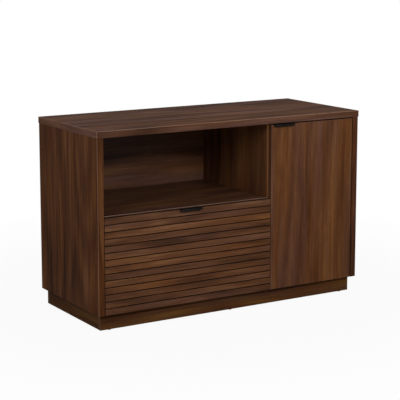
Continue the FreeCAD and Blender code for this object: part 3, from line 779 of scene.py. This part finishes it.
powder_coat = moulding("black_powder_coat", chart(8, 6, 4), roughness=0.4, tooth=0.15, specular=0.06)
for body in ("drawer", "door"):
    node = body + "_pull"
    low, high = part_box(node)
    face, flat = low.y + PULL_GAUGE / 2, high.z - PULL_GAUGE / 2
    bend = rounded([Vector((high.y, flat)), Vector((face, flat)), Vector((face, low.z))], PULL_BEND)
    pull = strip(bend, PULL_GAUGE, lambda point: Vector((low.x, point.x, point.y)),
                 Vector((high.x - low.x, 0, 0)))
    ease_edges(pull, PULL_EASE)
    stand_for(make_piece(node + "_strip", pull, powder_coat, smooth=True), body, "black_metal", node)
    pull_screws = screw_group(node + "_screw_heads", node + "_screws", powder_coat)
    stand_for(pull_screws, body, "black_metal", node + "_screws")

# File rails: flat steel bars across the drawer for the hooks of hanging files, held in black plastic clips
# that straddle the top edges of its sides.
RAIL_EASE = 0.0006
CLIP_GAUGE = 0.002
CLIP_EASE = 0.0006
side_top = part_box("drawer_side_left")[1].z
drawer_middle = (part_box("drawer_back")[0].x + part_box("drawer_back")[1].x) / 2
clips = bmesh.new()
for low, high in islands("rail_clips"):
    outer, inner = (low.x, high.x) if low.x < drawer_middle else (high.x, low.x)
    lip = inner - math.copysign(CLIP_GAUGE, inner - outer)
    corners = [(outer, side_top), (lip, side_top), (lip, low.z), (inner, low.z), (inner, high.z),
               (outer, high.z)]
    prism(clips, [Vector((x, low.y, z)) for x, z in corners], Vector((0, high.y - low.y, 0)))
ease_edges(clips, CLIP_EASE)
clip_set = make_piece("rail_clip_set", clips, black_plastic)
for node in ("hanging_rail_front", "hanging_rail_rear"):
    low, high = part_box(node)
    combine(clip_set, make_piece("slot", box_shape(low, high, ease=RAIL_EASE), black_plastic))
    rail = make_piece(node + "_bar", box_shape(low, high, ease=RAIL_EASE), zinc)
    stand_for(rail, "drawer", "zinc_steel", node)
stand_for(clip_set, "drawer", "black_plastic", "rail_clips")

# Door: one board in wood print with upright grain and banded edges, bored at the back for the cups of its
# hinges. Clear bumpers on its back, at the free edge, meet the upright softly.
CUP_RADIUS = 0.0175
BUMPER_DOME = ((0, 0), (1, 0), (1, 0.35), (0.8, 0.75), (0.45, 0.96), (0, 1))
door_tones = [chart(68, 41, 26), chart(81, 50, 32), chart(88, 56, 36), chart(98, 65, 42)]
door_print = wood_print("door_print", ALONG_Z, 69.22, door_tones, band=ALONG_X)
door_board = make_piece("door_board", box_shape(*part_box("door_panel")), door_print)
cup_bores = bmesh.new()
for node in ("hinge_cup_lower", "hinge_cup_upper"):
    low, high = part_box(node)
    middle, depth = (low + high) / 2, high.y - low.y
    mouth = Vector((middle.x, high.y, middle.z))
    bar(cup_bores, mouth, Vector((0, -1, 0)), CUP_RADIUS + BORE_PLAY, 0, depth + BORE_PLAY, sides=48)
combine(door_board, make_piece("bores", cup_bores, door_print))
stand_for(door_board, "door", "front_board", "door_panel")
clear_soft = moulding("clear_soft_plastic", chart(196, 196, 190), roughness=0.22, tooth=0.05)
bumpers = bmesh.new()
for low, high in islands("door_bumpers"):
    middle = (low + high) / 2
    radius, thick = (high.x - low.x) / 2, high.y - low.y
    bumper_profile = [(out * radius, up * thick) for out, up in BUMPER_DOME]
    turn(bumpers, bumper_profile, Vector((middle.x, low.y, middle.z)), Vector((0, 1, 0)))
bumper_domes = make_piece("door_bumper_domes", bumpers, clear_soft, smooth=True)
stand_for(bumper_domes, "door", "soft_bumper", "door_bumpers")

# Hinges: nickel-plated cup hinges. A deep-drawn cup is let into the back of the door and turns on a pin in
# the eye of a swan-neck arm, and the arm is screwed to a plate on the right end.
CUP_WALL = 0.0008
CUP_LIP = 0.0012
CUP_FLOOR = 0.0006
CUP_CORNER = 0.0012
LIP_EASE = 0.0003
EAR_EASE = 0.0004
EAR_STEP = 0.00005
EAR_NEAR, EAR_FAR = -0.0155, -0.0035
EAR_ROOT = 0.0168
ARM_GAUGE = 0.0025
ARM_BEND = 0.004
ARM_EASE = 0.0004
NECK_SLOPE = 0.0015
NECK_DEPTH = 0.0185
EYE_RADIUS = 0.0028
PIN_BORE = 0.00135
PLATE_GAUGE = 0.002
PLATE_EASE = 0.0006
BASE_HALF, BLOCK_HALF = 0.009, 0.006
WING_START, WING_END = 0.008, 0.022
BLOCK_START = 0.004
hinge_pin = Vector(next(joint["pos_m"] for joint in frame["joints"] if joint["name"] == "door_hinge"))


def hinge_cup(name, low, high):
    # A drawn bowl with a lip, and an ear for a screw above it and below it
    middle, depth = (low + high) / 2, high.y - low.y
    lip, hollow = (high.x - low.x) / 2, CUP_RADIUS - CUP_WALL
    cup_profile = [(0, depth - CUP_FLOOR), (hollow - CUP_CORNER, depth - CUP_FLOOR),
                   (hollow, depth - CUP_FLOOR - CUP_CORNER), (hollow, LIP_EASE), (hollow + LIP_EASE, 0),
                   (lip - LIP_EASE, 0), (lip, LIP_EASE), (lip, CUP_LIP), (CUP_RADIUS, CUP_LIP),
                   (CUP_RADIUS, depth - CUP_CORNER), (CUP_RADIUS - CUP_CORNER, depth), (0, depth)]
    mouth = Vector((middle.x, high.y, middle.z))
    bowl = turn(bmesh.new(), cup_profile, mouth, Vector((0, -1, 0)), sides=48)
    piece = make_piece(name, bowl, nickel, smooth=True)
    for root, tip in ((middle.z - EAR_ROOT, low.z), (middle.z + EAR_ROOT, high.z)):
        ear_low = Vector((middle.x + EAR_NEAR, high.y - CUP_LIP + EAR_STEP, min(root, tip)))
        ear_high = Vector((middle.x + EAR_FAR, high.y - EAR_STEP, max(root, tip)))
        ear = box_shape(ear_low, ear_high, ease=EAR_EASE)
        combine(piece, make_piece("ear", ear, nickel, smooth=True), "UNION")
    return piece


def hinge_arm(name, low, high):
    # A bent strip that ends in an eye about the pin
    neck_x, arm_x = low.x + ARM_GAUGE / 2, high.x - ARM_GAUGE / 2
    neck_y = hinge_pin.y + NECK_DEPTH
    neck = [hinge_pin.xy, Vector((neck_x, hinge_pin.y + NECK_SLOPE)), Vector((neck_x, neck_y)),
            Vector((arm_x, neck_y)), Vector((arm_x, high.y))]
    up, tall = Vector((0, 0, 1)), high.z - low.z
    bent = strip(rounded(neck, ARM_BEND), ARM_GAUGE, lambda point: Vector((point.x, point.y, low.z)),
                 up * tall)
    ease_edges(bent, ARM_EASE)
    piece = make_piece(name, bent, nickel, smooth=True)
    foot = Vector((hinge_pin.x, hinge_pin.y, low.z))
    eye = bar(bmesh.new(), foot, up, EYE_RADIUS, 0, tall, sides=24)
    combine(piece, make_piece("eye", eye, nickel, smooth=True), "UNION")
    bore = bar(bmesh.new(), foot, up, PIN_BORE, -tall, 2 * tall, sides=24)
    combine(piece, make_piece("bore", bore, nickel, smooth=True))
    return piece


def hinge_plate(name, low, high):
    # A base along the end with a wing for a screw above it and below it, and the block that carries the arm
    level, base_x = (low.z + high.z) / 2, high.x - PLATE_GAUGE
    base = (base_x, low.y, level - BASE_HALF), (high.x, high.y, level + BASE_HALF)
    wings = (base_x, low.y + WING_START, low.z), (high.x, low.y + WING_END, high.z)
    root_x = base_x + PLATE_EASE
    block = (low.x, low.y + BLOCK_START, level - BLOCK_HALF), (root_x, high.y, level + BLOCK_HALF)
    piece = make_piece(name, box_shape(*map(Vector, base), ease=PLATE_EASE), nickel)
    for corners in (wings, block):
        other = box_shape(*map(Vector, corners), ease=PLATE_EASE)
        combine(piece, make_piece("block", other, nickel), "UNION")
    return piece


for place in ("lower", "upper"):
    for make, part, ending, body in ((hinge_cup, "hinge_cup_", "_bowl", "door"),
                                     (hinge_arm, "hinge_arm_", "_neck", "cabinet"),
                                     (hinge_plate, "hinge_plate_", "_mount", "cabinet")):
        node = part + place
        stand_for(make(node + ending, *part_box(node)), body, "nickel_steel", node)
dress(nickel, "hinge_pins")

# Studio: a pale floor that keeps the cabinet's shadow, white surroundings with an even soft light, a long
# lamp high in front and a weaker one at the left. In metal a grey backdrop shows above the horizon, and
# white overhead.
FLOOR_SIZE = 30.0
FLOOR_GREY = (0.4, 0.4, 0.4, 1.0)
SHADOW_REACH = (0.8, 2.0)
GLOW_IN_SHADOW = 0.94
SOFT_LIGHT = 0.4
BACKDROP_GREY = (0.22, 0.22, 0.22, 1.0)
LAMP_AIM = Vector((0.0, 0.0, 0.4))
CAMERA_AT = (-2.766, -4.513, 1.427)
CAMERA_YAW = 31.42
CAMERA_PITCH = 9.27
CAMERA_SENSOR = 36.0
CAMERA_LENS = 121.4
CAMERA_SHIFT = -0.1


def empty_tree(owner):
    owner.use_nodes = True
    owner.node_tree.nodes.clear()
    return owner.node_tree


def ray_is(tree, *kinds):
    # 1 for a ray of one of these kinds, and 0 for any other
    rays = add(tree, "LightPath").outputs
    found = 0.0
    for kind in kinds:
        found = reckon(tree, "MAXIMUM", found, rays[kind])
    return found


floor_shape = bmesh.new()
bmesh.ops.create_grid(floor_shape, x_segments=1, y_segments=1, size=FLOOR_SIZE / 2)
floor_paint = bpy.data.materials.new("floor_paint")
tree = empty_tree(floor_paint)
matt = add(tree, "BsdfDiffuse", {"Color": FLOOR_GREY})
glow = add(tree, "Emission", {"Color": WHITE, "Strength": 1.0})
seen = ray_is(tree, "Is Camera Ray", "Is Transmission Ray", "Is Glossy Ray")
floor_place = add(tree, "TexCoord").outputs["Object"]
distance = add(tree, "VectorMath", {0: floor_place}, operation="LENGTH").outputs["Value"]
share = reckon(tree, "MULTIPLY", seen, remap(tree, distance, SHADOW_REACH, (GLOW_IN_SHADOW, 1.0)))
both = add(tree, "MixShader", {0: share, 1: matt.outputs[0], 2: glow.outputs[0]})
add(tree, "OutputMaterial", {"Surface": both.outputs[0]})
make_piece("floor", floor_shape, floor_paint)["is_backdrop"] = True

world = bpy.data.worlds.new("studio")
tree = empty_tree(world)
straight = ray_is(tree, "Is Camera Ray", "Is Transmission Ray")
seen = ray_is(tree, "Is Camera Ray", "Is Transmission Ray", "Is Glossy Ray")
height = axes_of(tree, add(tree, "TexCoord").outputs["Generated"])["Z"]
backdrop = ramp(tree, height, (0.04, WHITE), (0.1, BACKDROP_GREY), (0.55, BACKDROP_GREY), (0.75, WHITE))
soft = add(tree, "Background", {"Color": WHITE, "Strength": SOFT_LIGHT})
shown = add(tree, "Background", {"Color": mixed(tree, straight, backdrop, WHITE), "Strength": 1.0})
both = add(tree, "MixShader", {0: seen, 1: soft.outputs[0], 2: shown.outputs[0]})
add(tree, "OutputWorld", {"Surface": both.outputs[0]})
bpy.context.scene.world = world

for name, at, size, watts in (("key_lamp", Vector((0.2, -2.8, 1.72)), (1.4, 0.25), 54.5),
                              ("side_lamp", Vector((-2.6, -1.6, 1.8)), (0.9, 0.7), 21)):
    light = bpy.data.lights.new(name, "AREA")
    light.shape = "RECTANGLE"
    light.size, light.size_y = size
    light.energy = watts
    lamp = bpy.data.objects.new(name, light)
    lamp.location = at
    lamp.rotation_euler = (LAMP_AIM - at).to_track_quat("-Z", "Y").to_euler()
    bpy.context.scene.collection.objects.link(lamp)

camera_data = bpy.data.cameras.new("camera")
camera_data.lens = CAMERA_LENS
camera_data.sensor_width = CAMERA_SENSOR
camera_data.shift_y = CAMERA_SHIFT
camera = bpy.data.objects.new("camera", camera_data)
camera.location = CAMERA_AT
camera.rotation_euler = (math.radians(90 - CAMERA_PITCH), 0, math.radians(-CAMERA_YAW))
bpy.context.scene.collection.objects.link(camera)
bpy.context.scene.camera = camera
bpy.context.scene.view_settings.view_transform = "Standard"

low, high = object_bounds()
